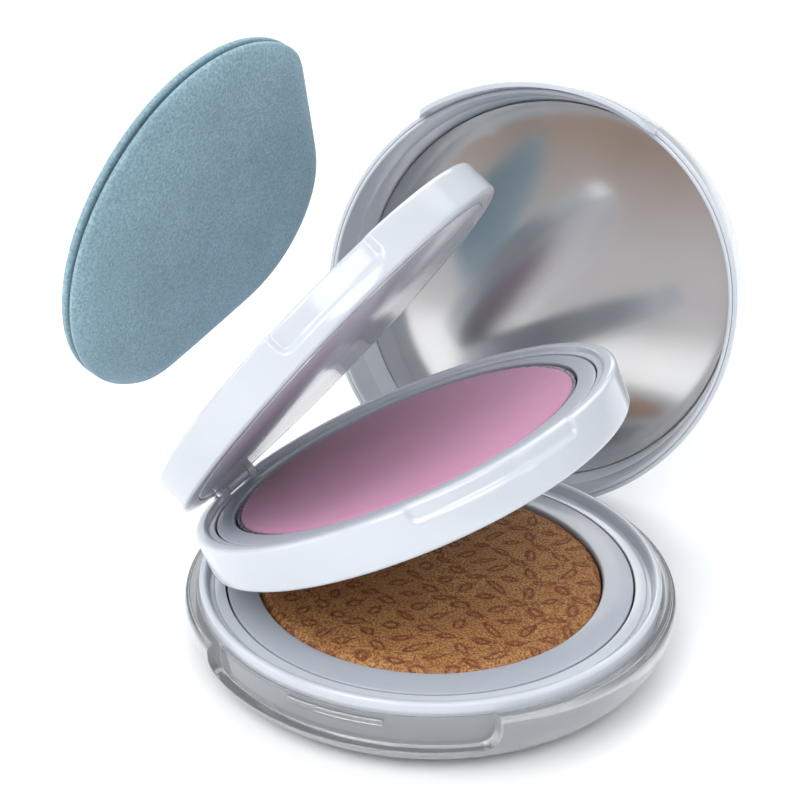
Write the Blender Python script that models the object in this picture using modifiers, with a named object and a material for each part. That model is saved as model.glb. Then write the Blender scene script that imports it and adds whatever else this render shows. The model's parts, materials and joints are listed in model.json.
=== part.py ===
"""Two-tier makeup compact: a cushion foundation base, a blush tray, a puff tray, a mirror lid and a puff.

Every piece is modelled where it sits in the closed compact, in millimetres, with the compact's
front towards -Y and its underside at z = 0. The moving pieces hang on empties that stand on the
hinge axes, and the empties then open the compact to its rest pose.
"""
import math

import bmesh
import bpy
from mathutils import Matrix, Quaternion, Vector

MM = 0.001

# ---- driving dimensions, in millimetres and degrees ----
BASE_RADIUS = 39.0
RIM_Z = 9.8                 # top of the clear outer shell
SHELL_FLOOR = 1.6
SHELL_INNER_RADIUS = 36.9
LINER_RADIUS = 36.6
LINER_LIP_RADIUS = 35.4
LINER_LIP_Z = 11.5
POT_BORE_RADIUS = 32.6      # well in the liner that takes the refill pot
FLANGE_Z = 9.9
SPONGE_RADIUS = 27.3

TRAY_RADIUS = 34.55
TRAY_LOW_Z = 11.6
TRAY_TOP_Z = 18.5
TRAY_WELL_RADIUS = 31.5
BLUSH_RADIUS = 28.2
BLUSH_Z = 17.5

TRAY_LID_RADIUS = 33.5
TRAY_LID_LOW_Z = 18.8
TRAY_LID_TOP_Z = 24.5
PUFF_WELL_RADIUS = 32.0

LID_RIM_Z = 10.2
LID_RIM_RADIUS = 37.7
LID_RADIUS = 38.4
LID_INNER_RADIUS = 36.9
MIRROR_Z = 24.8
MIRROR_RADIUS = 36.0
LID_TOP_Z = 26.9
LID_CORNER = 4.2            # rounding of the lid's upper edge, which swings down behind the base

POCKET_HALF_ANGLE = 34.7    # thumb pocket in the front of the base
POCKET_RADIUS = 37.2
POCKET_LOW_Z = 5.0
TRAY_NOTCH_HEADING = 47.0   # centre of the tray's finger notch, from the front towards +X
LID_NOTCH_HEADING = 39.0    # the same on the tray's lid

PUFF_RADIUS = 27.4
PUFF_LOW_Z = 20.25
PUFF_TOP_Z = 24.45
PUFF_TIP_REACH = 1.1        # tip's distance from the centre, in puff radii
PUFF_TIP_ROUNDING = 0.6      # tip's radius, in puff radii
PUFF_TIP_TURN = 16.2        # heading of the tip in its recess, from the back towards -X

STEPS = 72                  # round pieces that show
HIDDEN_STEPS = 44           # round pieces inside
GAP = 0.3                   # clearance between neighbours

# ---- joints, at their places in the closed compact ----
LID_AXLE = Vector((0.0, 35.1, 6.3))
TRAY_AXLE = Vector((-34.2, 0.0, 13.7))
TRAY_LID_AXLE = Vector((-33.0, 0.0, 18.5))
PUFF_HEADING = math.radians(252.6)
PUFF_SLOPE = math.radians(-11.35)
PUFF_AXIS = Vector((math.cos(PUFF_HEADING) * math.cos(PUFF_SLOPE),
                    math.sin(PUFF_HEADING) * math.cos(PUFF_SLOPE), math.sin(PUFF_SLOPE)))
PUFF_PIVOT = Vector((-68.3, 34.2, 55.8))

# body: parent body, point on the axis, axis, opening angle in the rest pose
BODIES = {
    "base": (None, Vector((0.0, 0.0, 0.0)), Vector((0.0, 0.0, 1.0)), 0.0),
    "lid_pin": ("base", LID_AXLE, Vector((-1.0, 0.0, 0.0)), 76.0),
    "mirror_lid": ("lid_pin", LID_AXLE, Vector((-1.0, 0.0, 0.0)), 24.0),
    "blush_tray": ("base", TRAY_AXLE, Vector((0.0, -1.0, 0.0)), 24.7),
    "tray_lid": ("blush_tray", TRAY_LID_AXLE, Vector((0.0, -1.0, 0.0)), 26.4),
    "puff": ("tray_lid", PUFF_PIVOT, PUFF_AXIS, 17.75),
}

# name: base colour, roughness, metallic, transmission
MATERIALS = {
    "clear_plastic": ((0.86, 0.89, 0.90), 0.06, 0.0, 0.85),
    "white_plastic": ((0.74, 0.78, 0.82), 0.22, 0.0, 0.0),
    "pale_flange": ((0.66, 0.70, 0.75), 0.35, 0.0, 0.0),
    "foundation_sponge": ((0.36, 0.19, 0.08), 0.9, 0.0, 0.0),
    "blush_powder": ((0.50, 0.22, 0.36), 0.8, 0.0, 0.0),
    "pan_metal": ((0.75, 0.76, 0.78), 0.3, 1.0, 0.0),
    "steel_pin": ((0.70, 0.71, 0.73), 0.25, 1.0, 0.0),
    "mirror_glass": ((0.90, 0.91, 0.92), 0.03, 1.0, 0.0),
    "adhesive_pad": ((0.30, 0.31, 0.33), 0.8, 0.0, 0.0),
    "seal_silicone": ((0.70, 0.73, 0.76), 0.55, 0.0, 0.0),
    "puff_fabric": ((0.22, 0.35, 0.43), 0.95, 0.0, 0.0),
    "puff_foam": ((0.70, 0.74, 0.76), 0.95, 0.0, 0.0),
}


# ---- scene, collections and materials ----

def clear_scene():
    for obj in list(bpy.data.objects):
        bpy.data.objects.remove(obj, do_unlink=True)


def new_collection(name):
    collection = bpy.data.collections.new(name)
    bpy.context.scene.collection.children.link(collection)
    return collection


def make_materials():
    made = {}
    for name, (colour, roughness, metallic, transmission) in MATERIALS.items():
        material = bpy.data.materials.new(name)
        material.use_nodes = True
        shader = material.node_tree.nodes["Principled BSDF"]
        shader.inputs["Base Color"].default_value = (*colour, 1.0)
        shader.inputs["Roughness"].default_value = roughness
        shader.inputs["Metallic"].default_value = metallic
        shader.inputs["Transmission Weight"].default_value = transmission
        made[name] = material
    return made


def make_empties():
    empties = {}
    for name, (parent, point, axis, opening) in BODIES.items():
        empty = bpy.data.objects.new("axle_of_" + name, None)
        PARTS.objects.link(empty)
        empty.empty_display_size = 5 * MM
        empty.rotation_mode = "QUATERNION"
        empty.rotation_quaternion = Quaternion(axis, math.radians(opening))
        if parent:
            empty.parent = empties[parent]
            empty.location = (point - BODIES[parent][1]) * MM
        empties[name] = empty
    return empties


def place(obj, body, material=None):
    """Hang an object, modelled in the closed compact's frame, on its body's axle."""
    obj.parent = EMPTIES[body]
    obj.location = -BODIES[body][1] * MM
    if material:
        obj.data.materials.append(MADE[material])
    return obj


def new_object(name, mesh, collection):
    obj = bpy.data.objects.new(name, mesh)
    collection.objects.link(obj)
    if collection is CUTTERS:
        obj.hide_render = True
        obj.display_type = "WIRE"
    return obj


# ---- solids ----

def arc(r, z, radius, start, end, count=4):
    """Points of a corner arc in the (radius, height) plane, angles in degrees from outwards."""
    points = []
    for i in range(count + 1):
        angle = math.radians(start + (end - start) * i / count)
        points.append((r + radius * math.cos(angle), z + radius * math.sin(angle)))
    return points


def ring_profile(inner, outer, low, high, corner=0.25):
    """A closed rectangle with cut corners, running down its outer side."""
    return (arc(inner + corner, high - corner, corner, 180, 90, 1)
            + arc(outer - corner, high - corner, corner, 90, 0, 1)
            + arc(outer - corner, low + corner, corner, 0, -90, 1)
            + arc(inner + corner, low + corner, corner, -90, -180, 1))


def disc_profile(radius, low, high, corner=0.25):
    return ([(0.0, high)]
            + arc(radius - corner, high - corner, corner, 90, 0, 1)
            + arc(radius - corner, low + corner, corner, 0, -90, 1)
            + [(0.0, low)])


def revolve(name, profile, body, material=None, steps=STEPS):
    """Turn a profile about the compact's centre line with a Screw modifier."""
    mesh = bpy.data.meshes.new(name)
    closed = profile[0][0] > 0.0
    edges = [(i, i + 1) for i in range(len(profile) - 1)]
    if closed:
        edges.append((len(profile) - 1, 0))
    mesh.from_pydata([(r * MM, 0.0, z * MM) for r, z in profile], edges, [])
    obj = new_object(name, mesh, PARTS if material else CUTTERS)
    screw = obj.modifiers.new("turn", "SCREW")
    screw.steps = steps
    screw.render_steps = steps
    screw.use_merge_vertices = True
    screw.merge_threshold = 0.00001
    return place(obj, body, material)


def finish_bmesh(name, mesh_data, body, material):
    mesh = bpy.data.meshes.new(name)
    bmesh.ops.recalc_face_normals(mesh_data, faces=mesh_data.faces)
    mesh_data.to_mesh(mesh)
    mesh_data.free()
    return place(new_object(name, mesh, PARTS if material else CUTTERS), body, material)


def block(name, x, y, z, body, material=None, heading=0.0, corner=0.0):
    """A box between pairs of coordinates, turned about Z by heading degrees from the front.

    A corner radius rounds the edges that run along its Y.
    """
    data = bmesh.new()
    size = Vector((x[1] - x[0], y[1] - y[0], z[1] - z[0])) * MM
    centre = Vector((x[1] + x[0], y[1] + y[0], z[1] + z[0])) * MM / 2
    bmesh.ops.create_cube(data, size=1.0, matrix=Matrix.LocRotScale(centre, None, size))
    if corner:
        along_y = [e for e in data.edges if abs((e.verts[0].co - e.verts[1].co).y) > size.y * 0.5]
        bmesh.ops.bevel(data, geom=along_y, offset=corner * MM, segments=4, affect="EDGES", profile=0.5)
    bmesh.ops.rotate(data, verts=data.verts, matrix=Matrix.Rotation(math.radians(heading), 3, "Z"))
    return finish_bmesh(name, data, body, material)


def rod(name, along, span, centre, radius, body, material=None, sides=24):
    """A cylinder along X or Y between the two ends of span, centred on a point of its axis."""
    data = bmesh.new()
    middle = centre.copy()
    turn = Matrix.Rotation(math.radians(90), 4, "Y" if along == "X" else "X")
    middle["XY".index(along)] = (span[0] + span[1]) / 2
    bmesh.ops.create_cone(data, cap_ends=True, segments=sides, radius1=radius * MM, radius2=radius * MM,
                          depth=(span[1] - span[0]) * MM, matrix=Matrix.Translation(middle * MM) @ turn)
    return finish_bmesh(name, data, body, material)


def boolean(target, tool, operation):
    modifier = target.modifiers.new(operation.lower() + "_" + tool.name, "BOOLEAN")
    modifier.operation = operation
    modifier.solver = "EXACT"
    modifier.object = tool
    return target


def carve(target, *tools):
    for tool in tools:
        boolean(target, tool, "DIFFERENCE")


def join(target, *tools):
    for tool in tools:
        boolean(target, tool, "UNION")


def front_arc(name, inner, outer, low, high, half_angle, body, material=None, corner=0.0, heading=0.0):
    """A piece of a ring that spans half_angle each side of a heading, with rounded ends."""
    half = outer * math.sin(math.radians(half_angle))
    ring = revolve(name, ring_profile(inner, outer, low - 0.001, high + 0.001, 0.05), body, material)
    window = block(name + "_window", (-half, half), (-BASE_RADIUS - 4, -18.0), (low, high), body,
                   heading=heading, corner=corner)
    boolean(ring, window, "INTERSECT")
    return ring


# ---- base: clear shell, liner, refill pot and sponge ----

def make_base_shell():
    radius = BASE_RADIUS
    profile = ([(0.0, SHELL_FLOOR)]
               + [(SHELL_INNER_RADIUS - 3.4, SHELL_FLOOR)]
               + arc(SHELL_INNER_RADIUS - 3.4, SHELL_FLOOR + 3.4, 3.4, -60, 0, 2)
               + [(SHELL_INNER_RADIUS, RIM_Z - 0.3), (SHELL_INNER_RADIUS + 0.3, RIM_Z)]
               + arc(radius - 0.7, RIM_Z - 0.7, 0.7, 90, 0, 3)
               + arc(radius - 8.0, 8.0, 8.0, 0, -90, 7)
               + [(0.0, 0.0)])
    shell = revolve("base_shell", profile, "base", "clear_plastic")
    pocket = front_arc("pocket_cut", POCKET_RADIUS, BASE_RADIUS + 3, POCKET_LOW_Z, RIM_Z + 6,
                       POCKET_HALF_ANGLE, "base", corner=2.4)
    hinge_notch = block("shell_hinge_notch", (-10.8, 10.8), (34.5, 45.0), (1.7, 14.0), "base")
    carve(shell, pocket, hinge_notch)


def make_base_liner():
    """White tray with a raised lip, a well for the refill pot and the knuckles of both hinges."""
    low = SHELL_FLOOR + GAP
    profile = ([(0.0, low + 1.0), (POT_BORE_RADIUS, low + 1.0), (POT_BORE_RADIUS, FLANGE_Z)]
               + [(LINER_LIP_RADIUS - 1.0, FLANGE_Z), (LINER_LIP_RADIUS - 0.8, FLANGE_Z - 0.4),
                  (LINER_LIP_RADIUS - 0.2, FLANGE_Z - 0.4), (LINER_LIP_RADIUS, FLANGE_Z + 0.1)]
               + arc(LINER_RADIUS - 0.6, LINER_LIP_Z - 0.6, 0.6, 180, 0, 4)
               + arc(LINER_RADIUS - 4.2, low + 4.2, 4.2, 0, -90, 3)
               + [(0.0, low)])
    liner = revolve("base_liner", profile, "base", "white_plastic")
    carve(liner, block("liner_hinge_notch", (-9.2, 9.2), (33.1, 45.0), (2.9, 14.0), "base"))
    for side in (-1, 1):
        ends = sorted((side * 5.95, side * 10.3))
        join(liner, rod(f"lid_knuckle_{side}", "X", ends, LID_AXLE, 1.7, "base"))
        ends = sorted((side * 6.2, side * 8.4))
        join(liner, rod(f"tray_knuckle_{side}", "Y", ends, TRAY_AXLE, 1.1, "base"),
             block(f"tray_post_{side}", (TRAY_AXLE.x - 1.1, TRAY_AXLE.x + 1.1), ends,
                   (FLANGE_Z - 1.0, TRAY_AXLE.z), "base"))
    carve(liner, rod("lid_pin_bore", "X", (-9.6, 9.6), LID_AXLE, 0.85, "base"),
          rod("tray_pin_bore", "Y", (-9.4, 9.4), TRAY_AXLE, 0.55, "base"))


def make_latch_catch():
    front_arc("latch_catch", POCKET_RADIUS + 0.05, POCKET_RADIUS + 0.42, 8.2, 9.0, 11.0, "base",
              "clear_plastic", corner=0.3)


def make_refill_pot():
    profile = [(0.0, 4.2), (29.6, 4.2), (30.0, 4.6), (30.0, 8.7), (31.2, 8.7), (31.2, 4.0), (30.4, 3.2),
               (0.0, 3.2)]
    revolve("refill_pot", profile, "base", "white_plastic", HIDDEN_STEPS)
    revolve("pot_flange_ring", ring_profile(SPONGE_RADIUS + GAP, POT_BORE_RADIUS - GAP, 8.8, FLANGE_Z, 0.2),
            "base", "pale_flange")
    dome = [(0.0, FLANGE_Z + 0.05), (SPONGE_RADIUS * 0.6, FLANGE_Z), (SPONGE_RADIUS - 0.9, FLANGE_Z - 0.25)]
    profile = dome + arc(SPONGE_RADIUS - 0.6, FLANGE_Z - 0.9, 0.6, 70, 0, 3) + [(SPONGE_RADIUS, 4.5), (0.0, 4.5)]
    revolve("foundation_sponge", profile, "base", "foundation_sponge")


def make_base_pins():
    rod("tray_hinge_pin", "Y", (-8.3, 8.3), TRAY_AXLE, 0.4, "base", "steel_pin", 16)
    rod("lid_hinge_pin", "X", (-9.3, 9.3), LID_AXLE, 0.65, "lid_pin", "steel_pin", 20)


# ---- mirror lid ----

def make_lid_shell():
    """Outer shell: roof, side wall, front tongue that drops into the pocket, and hinge barrel."""
    wall_inner = LID_RADIUS - 0.75
    ceiling = LID_TOP_Z - 1.05
    profile = ([(0.0, LID_TOP_Z), (LID_RADIUS * 0.6, LID_TOP_Z - 0.05)]
               + arc(LID_RADIUS - LID_CORNER, LID_TOP_Z - LID_CORNER, LID_CORNER, 86, 0, 5)
               + [(LID_RADIUS, LID_RIM_Z + 0.4), (LID_RADIUS - 0.2, LID_RIM_Z + 0.1),
                  (wall_inner, LID_RIM_Z + 0.1), (wall_inner, MIRROR_Z - 1.6),
                  (MIRROR_RADIUS + 0.75, ceiling - 0.5), (MIRROR_RADIUS + 0.3, ceiling), (0.0, ceiling)])
    shell = revolve("lid_shell", profile, "mirror_lid", "white_plastic")
    tongue = front_arc("tongue", wall_inner + 0.05, LID_RADIUS + 0.2, POCKET_LOW_Z + 0.6, LID_RIM_Z + 2.0,
                       POCKET_HALF_ANGLE - 1.0, "mirror_lid", corner=2.0)
    hook = front_arc("hook", POCKET_RADIUS + 0.47, wall_inner + 0.3, 6.7, 7.4, 10.5, "mirror_lid", corner=0.2)
    tab = revolve("tab", ring_profile(wall_inner + 0.05, LID_RADIUS - 0.1, 5.2, LID_RIM_Z + 2.0, 0.1),
                  "mirror_lid")
    boolean(tab, block("tab_window", (-5.7, 5.7), (30.0, 45.0), (5.3, LID_RIM_Z + 1.9), "mirror_lid"),
            "INTERSECT")
    web = block("web", (-5.7, 5.7), (LID_AXLE.y, LID_RADIUS - 0.6), (5.3, LID_RIM_Z - GAP), "mirror_lid")
    barrel = rod("barrel", "X", (-5.7, 5.7), LID_AXLE, 1.7, "mirror_lid")
    join(shell, tongue, hook, tab, web, barrel)
    carve(shell, rod("barrel_bore", "X", (-7.0, 7.0), LID_AXLE, 0.85, "mirror_lid"))


def make_lid_frame():
    """Inner frame: the bright rim and the wall that holds the mirror."""
    outer = LID_RADIUS - 1.0
    profile = [(MIRROR_RADIUS + 0.3, MIRROR_Z + 0.4), (MIRROR_RADIUS + 0.6, MIRROR_Z - 3.6),
               (outer, MIRROR_Z - 5.4), (outer, LID_RIM_Z + 0.2), (outer - 0.2, LID_RIM_Z),
               (LID_INNER_RADIUS + 0.1, LID_RIM_Z), (LID_INNER_RADIUS, LID_RIM_Z + 0.15),
               (MIRROR_RADIUS + 0.15, MIRROR_Z + 0.4)]
    revolve("lid_frame", profile, "mirror_lid", "white_plastic")


def make_mirror():
    revolve("mirror", disc_profile(MIRROR_RADIUS, MIRROR_Z, MIRROR_Z + 0.7, 0.15), "mirror_lid",
            "mirror_glass")
    revolve("mirror_adhesive_pad", disc_profile(30.0, MIRROR_Z + 0.75, MIRROR_Z + 1.0, 0.05),
            "mirror_lid", "adhesive_pad", HIDDEN_STEPS)


# ---- blush tray ----

def make_tray_body():
    """Ring-shaped tray with a stepped rim, the barrel of its hinge and the lugs of its lid's hinge."""
    r = TRAY_RADIUS
    profile = ([(TRAY_WELL_RADIUS, BLUSH_Z + 0.2), (TRAY_WELL_RADIUS + 0.9, BLUSH_Z + 0.2),
                (TRAY_WELL_RADIUS + 1.1, TRAY_TOP_Z - 0.2), (TRAY_WELL_RADIUS + 1.3, TRAY_TOP_Z)]
               + arc(r - 0.6, TRAY_TOP_Z - 0.6, 0.6, 90, 0, 3)
               + arc(r - 1.2, TRAY_LOW_Z + 1.2, 1.2, 0, -90, 3)
               + [(TRAY_WELL_RADIUS, TRAY_LOW_Z)])
    tray = revolve("tray_body", profile, "blush_tray", "white_plastic")
    finger_notch = front_arc("tray_finger_notch", r - 0.55, r + 2, TRAY_TOP_Z - 2.3, TRAY_TOP_Z + 2, 22.0,
                             "blush_tray", corner=0.8, heading=TRAY_NOTCH_HEADING)
    top_slot = block("tray_top_slot", (-40.0, -31.75), (-5.7, 5.7), (17.15, 22.0), "blush_tray")
    slots = [block(f"tray_post_slot_{side}", (-40.0, TRAY_AXLE.x + 1.45), sorted((side * 5.9, side * 8.7)),
                   (5.0, 22.0), "blush_tray") for side in (-1, 1)]
    carve(tray, finger_notch, top_slot, *slots)
    join(tray, rod("tray_barrel", "Y", (-5.9, 5.9), TRAY_AXLE, 1.1, "blush_tray"))
    for side in (-1, 1):
        ends = sorted((side * 3.55, side * 5.5))
        join(tray, rod(f"tray_lug_{side}", "Y", ends, TRAY_LID_AXLE, 0.95, "blush_tray"),
             block(f"tray_lug_root_{side}", (TRAY_LID_AXLE.x - 0.95, TRAY_LID_AXLE.x + 0.95), ends,
                   (16.6, TRAY_LID_AXLE.z), "blush_tray"))
    carve(tray, rod("tray_barrel_bore", "Y", (-7.0, 7.0), TRAY_AXLE, 0.55, "blush_tray"),
          rod("tray_lug_bore", "Y", (-6.5, 6.5), TRAY_LID_AXLE, 0.47, "blush_tray"))


def make_tray_contents():
    revolve("tray_base_plate", disc_profile(TRAY_WELL_RADIUS - 0.2, TRAY_LOW_Z + 0.1, TRAY_LOW_Z + 1.0, 0.2),
            "blush_tray", "white_plastic", HIDDEN_STEPS)
    revolve("tray_insert_ring", ring_profile(BLUSH_RADIUS + 0.15, TRAY_WELL_RADIUS - GAP, TRAY_LOW_Z + 1.2,
                                             BLUSH_Z + 0.1, 0.2), "blush_tray", "pale_flange")
    pan = [(0.0, 13.5), (27.2, 13.5), (27.5, 13.8), (27.5, 17.2), (28.0, 17.2), (28.0, 13.4), (27.6, 13.0),
           (0.0, 13.0)]
    revolve("blush_pan", pan, "blush_tray", "pan_metal", HIDDEN_STEPS)
    powder = [(0.0, BLUSH_Z + 0.05), (20.0, BLUSH_Z), (26.4, BLUSH_Z - 0.1), (27.3, BLUSH_Z - 0.4),
              (27.3, 13.9), (27.0, 13.6), (0.0, 13.6)]
    revolve("blush_powder", powder, "blush_tray", "blush_powder")
    revolve("tray_seal", ring_profile(28.6, 30.4, FLANGE_Z + 0.35, TRAY_LOW_Z, 0.4), "blush_tray",
            "seal_silicone", HIDDEN_STEPS)
    rod("tray_lid_hinge_pin", "Y", (-5.4, 5.4), TRAY_LID_AXLE, 0.35, "blush_tray", "steel_pin", 16)


# ---- tray lid, whose upper side holds the puff ----

def make_tray_lid():
    r = TRAY_LID_RADIUS
    floor_low = TRAY_LID_LOW_Z + 0.6
    floor_high = floor_low + 0.7
    profile = ([(0.0, floor_high), (PUFF_WELL_RADIUS, floor_high), (PUFF_WELL_RADIUS, TRAY_LID_TOP_Z - 0.3)]
               + arc(r - 0.5, TRAY_LID_TOP_Z - 0.5, 0.5, 120, 0, 3)
               + arc(r - 0.8, TRAY_LID_LOW_Z + 0.8, 0.8, 0, -90, 3)
               + [(30.6, TRAY_LID_LOW_Z), (30.6, floor_low), (0.0, floor_low)])
    lid = revolve("tray_lid_shell", profile, "tray_lid", "white_plastic")
    notch = front_arc("lid_finger_notch", r - 0.5, r + 2, TRAY_LID_LOW_Z + 2.3, TRAY_LID_TOP_Z + 2, 15.5,
                      "tray_lid", corner=0.8, heading=LID_NOTCH_HEADING)
    slot = block("lid_barrel_slot", (-40.0, -31.7), (-5.8, 5.8), (10.0, 19.9), "tray_lid")
    carve(lid, notch, slot)
    join(lid, rod("lid_barrel", "Y", (-3.25, 3.25), TRAY_LID_AXLE, 0.95, "tray_lid"),
         block("lid_barrel_web", (TRAY_LID_AXLE.x - 0.5, -31.2), (-3.25, 3.25), (18.95, 20.3), "tray_lid"))
    carve(lid, rod("lid_barrel_bore", "Y", (-4.0, 4.0), TRAY_LID_AXLE, 0.47, "tray_lid"))
    revolve("tray_lid_inner_plate", disc_profile(30.4, TRAY_LID_LOW_Z, TRAY_LID_LOW_Z + 0.5, 0.1),
            "tray_lid", "white_plastic", HIDDEN_STEPS)


# ---- puff ----

def puff_outline(scale=1.0):
    """Drop shape: a round back and two flat sides that meet at a blunt tip, towards +Y."""
    radius = PUFF_RADIUS * scale
    tip_radius = PUFF_TIP_ROUNDING * radius
    tip_centre = PUFF_TIP_REACH * radius - tip_radius
    back = [math.radians(a) for a in range(170, 371, 8)]
    outline = [(radius * math.cos(a), radius * math.sin(a)) for a in back]
    for degrees in range(36, 145, 12):
        a = math.radians(degrees)
        outline.append((tip_radius * math.cos(a), tip_centre + tip_radius * math.sin(a)))
    return outline


def puff_layer(name, low, high, material, scale=1.0, soften=0.5):
    """One layer of the puff: its outline filled, raised to its thickness and softened at both edges."""
    data = bmesh.new()
    turn = Matrix.Rotation(math.radians(PUFF_TIP_TURN), 3, "Z")
    verts = [data.verts.new(turn @ Vector((x * MM, y * MM, low * MM))) for x, y in puff_outline(scale)]
    face = data.faces.new(verts)
    raised = bmesh.ops.extrude_face_region(data, geom=[face])["geom"]
    top = [v for v in raised if isinstance(v, bmesh.types.BMVert)]
    bmesh.ops.translate(data, verts=top, vec=(0.0, 0.0, (high - low) * MM))
    rims = [e for e in data.edges if abs((e.verts[0].co - e.verts[1].co).z) < 1e-7]
    bmesh.ops.bevel(data, geom=rims, offset=soften * MM, segments=2, affect="EDGES", profile=0.5)
    return finish_bmesh(name, data, "puff", material)


def make_puff():
    """Two microfibre skins over a foam sheet."""
    third = (PUFF_TOP_Z - PUFF_LOW_Z) / 3
    puff_layer("puff_face", PUFF_LOW_Z, PUFF_LOW_Z + third, "puff_fabric")
    puff_layer("puff_foam", PUFF_LOW_Z + third + 0.02, PUFF_TOP_Z - third - 0.02, "puff_foam", 0.97, 0.3)
    puff_layer("puff_back", PUFF_TOP_Z - third, PUFF_TOP_Z, "puff_fabric")


clear_scene()
PARTS = new_collection("makeup_compact")
CUTTERS = new_collection("makeup_compact_cutters")
MADE = make_materials()
EMPTIES = make_empties()
make_base_shell()
make_base_liner()
make_latch_catch()
make_refill_pot()
make_base_pins()
make_lid_shell()
make_lid_frame()
make_mirror()
make_tray_body()
make_tray_contents()
make_tray_lid()
make_puff()
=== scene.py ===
"""Finished look of the two-tier makeup compact.

Pieces are modelled in the closed compact, in millimetres, and each is then placed by its body's
rest matrix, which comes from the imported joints.
"""
import json
import math

import bmesh
import bpy
import numpy as np
from mathutils import Euler, Matrix, Vector

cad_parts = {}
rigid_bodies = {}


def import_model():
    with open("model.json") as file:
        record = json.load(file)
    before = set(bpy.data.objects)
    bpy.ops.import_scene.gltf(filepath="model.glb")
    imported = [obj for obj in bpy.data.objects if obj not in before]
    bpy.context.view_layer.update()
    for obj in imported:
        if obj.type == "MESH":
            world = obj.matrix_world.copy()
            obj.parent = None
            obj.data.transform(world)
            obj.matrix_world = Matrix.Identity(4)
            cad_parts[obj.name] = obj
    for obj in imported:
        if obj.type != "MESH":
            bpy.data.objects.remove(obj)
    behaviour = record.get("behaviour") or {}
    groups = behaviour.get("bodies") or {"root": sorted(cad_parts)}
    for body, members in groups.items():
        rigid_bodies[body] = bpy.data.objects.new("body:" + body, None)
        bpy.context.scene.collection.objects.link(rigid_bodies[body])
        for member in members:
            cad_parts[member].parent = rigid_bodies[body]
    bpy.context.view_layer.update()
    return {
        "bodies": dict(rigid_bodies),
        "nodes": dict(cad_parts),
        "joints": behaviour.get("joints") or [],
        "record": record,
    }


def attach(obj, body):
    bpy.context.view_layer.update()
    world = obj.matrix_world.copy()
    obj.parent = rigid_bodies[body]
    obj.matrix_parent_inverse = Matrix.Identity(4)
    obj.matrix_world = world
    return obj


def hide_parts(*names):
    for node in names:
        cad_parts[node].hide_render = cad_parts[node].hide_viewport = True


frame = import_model()
MM = 0.001

# ---- dimensions, as in part.py, in millimetres and degrees ----
BASE_RADIUS = 39.0
RIM_Z = 9.8
SHELL_FLOOR = 1.6
SHELL_INNER_RADIUS = 36.9
SHELL_ROUNDING = 8.0
LINER_RADIUS = 36.6
LINER_LIP_RADIUS = 35.4
LINER_LIP_Z = 11.5
POT_BORE_RADIUS = 32.6
FLANGE_Z = 9.9
SPONGE_RADIUS = 27.3
TRAY_RADIUS = 34.55
TRAY_LOW_Z = 11.6
TRAY_TOP_Z = 18.5
TRAY_WELL_RADIUS = 31.5
BLUSH_RADIUS = 28.2
BLUSH_Z = 17.5
TRAY_LID_RADIUS = 33.5
TRAY_LID_LOW_Z = 18.8
TRAY_LID_TOP_Z = 24.5
PUFF_WELL_RADIUS = 32.0
LID_RIM_Z = 10.2
LID_RADIUS = 38.4
LID_INNER_RADIUS = 36.9
MIRROR_Z = 24.8
MIRROR_RADIUS = 36.0
LID_TOP_Z = 26.9
LID_CORNER = 4.2
POCKET_HALF_ANGLE = 34.7
POCKET_RADIUS = 37.2
POCKET_LOW_Z = 5.0
TRAY_NOTCH_HEADING = 47.0
LID_NOTCH_HEADING = 39.0
PUFF_RADIUS = 27.4
PUFF_LOW_Z = 20.25
PUFF_TOP_Z = 24.45
PUFF_TIP_REACH = 1.1
PUFF_TIP_TURN = 16.2
PUFF_TIP_ROUNDING = 0.6
BLUSH_CAKE_RADIUS = 27.4
POCKET_CORNER = 2.6
TONGUE_CORNER = 2.6
TRAY_NOTCH_HALF_ANGLE = 22.0
LID_NOTCH_HALF_ANGLE = 15.5
LID_BORE_RADIUS = 0.85
TRAY_BORE_RADIUS = 0.55
TRAY_LID_BORE_RADIUS = 0.47
LID_AXLE = (0.0, 35.1, 6.3)
TRAY_AXLE = (-34.2, 0.0, 13.7)
TRAY_LID_AXLE = (-33.0, 0.0, 18.5)
STEPS = 240


def rest_matrices():
    """For each body, the matrix that takes the closed compact's coordinates to the rest pose."""
    joints = {joint["child"]: joint for joint in frame["joints"]}
    matrices = {}
    for body in frame["bodies"]:
        closing, at = Matrix.Identity(4), body
        while at in joints:
            joint = joints[at]
            point = Matrix.Translation(Vector(joint["pos_m"]))
            turn = Matrix.Rotation(math.radians(joint["range_deg"][0]), 4, Vector(joint["axis"]))
            closing = point @ turn @ point.inverted() @ closing
            at = joint["parent"]
        matrices[body] = closing.inverted()
    return matrices


REST = rest_matrices()


# ---- camera, floor and light ----

def make_camera():
    data = bpy.data.cameras.new("camera")
    data.sensor_width = 36.0
    data.lens = 51.2
    data.shift_y = 0.0625
    data.clip_start = 0.005
    camera = bpy.data.objects.new("camera", data)
    bpy.context.scene.collection.objects.link(camera)
    camera.location = (0.05434, -0.14689, 0.10713)
    camera.rotation_euler = Euler((math.radians(90 - 25.94), 0.0, math.radians(22.05)))
    bpy.context.scene.camera = camera


def area_light(name, place, target, size, power, colour=(1.0, 1.0, 1.0), size_y=None):
    data = bpy.data.lights.new(name, "AREA")
    data.shape = "RECTANGLE"
    data.size = size
    data.size_y = size_y or size
    data.energy = power
    data.color = colour
    light = bpy.data.objects.new(name, data)
    bpy.context.scene.collection.objects.link(light)
    light.location = place
    light.rotation_euler = (Vector(target) - Vector(place)).to_track_quat("-Z", "Y").to_euler()


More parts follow.
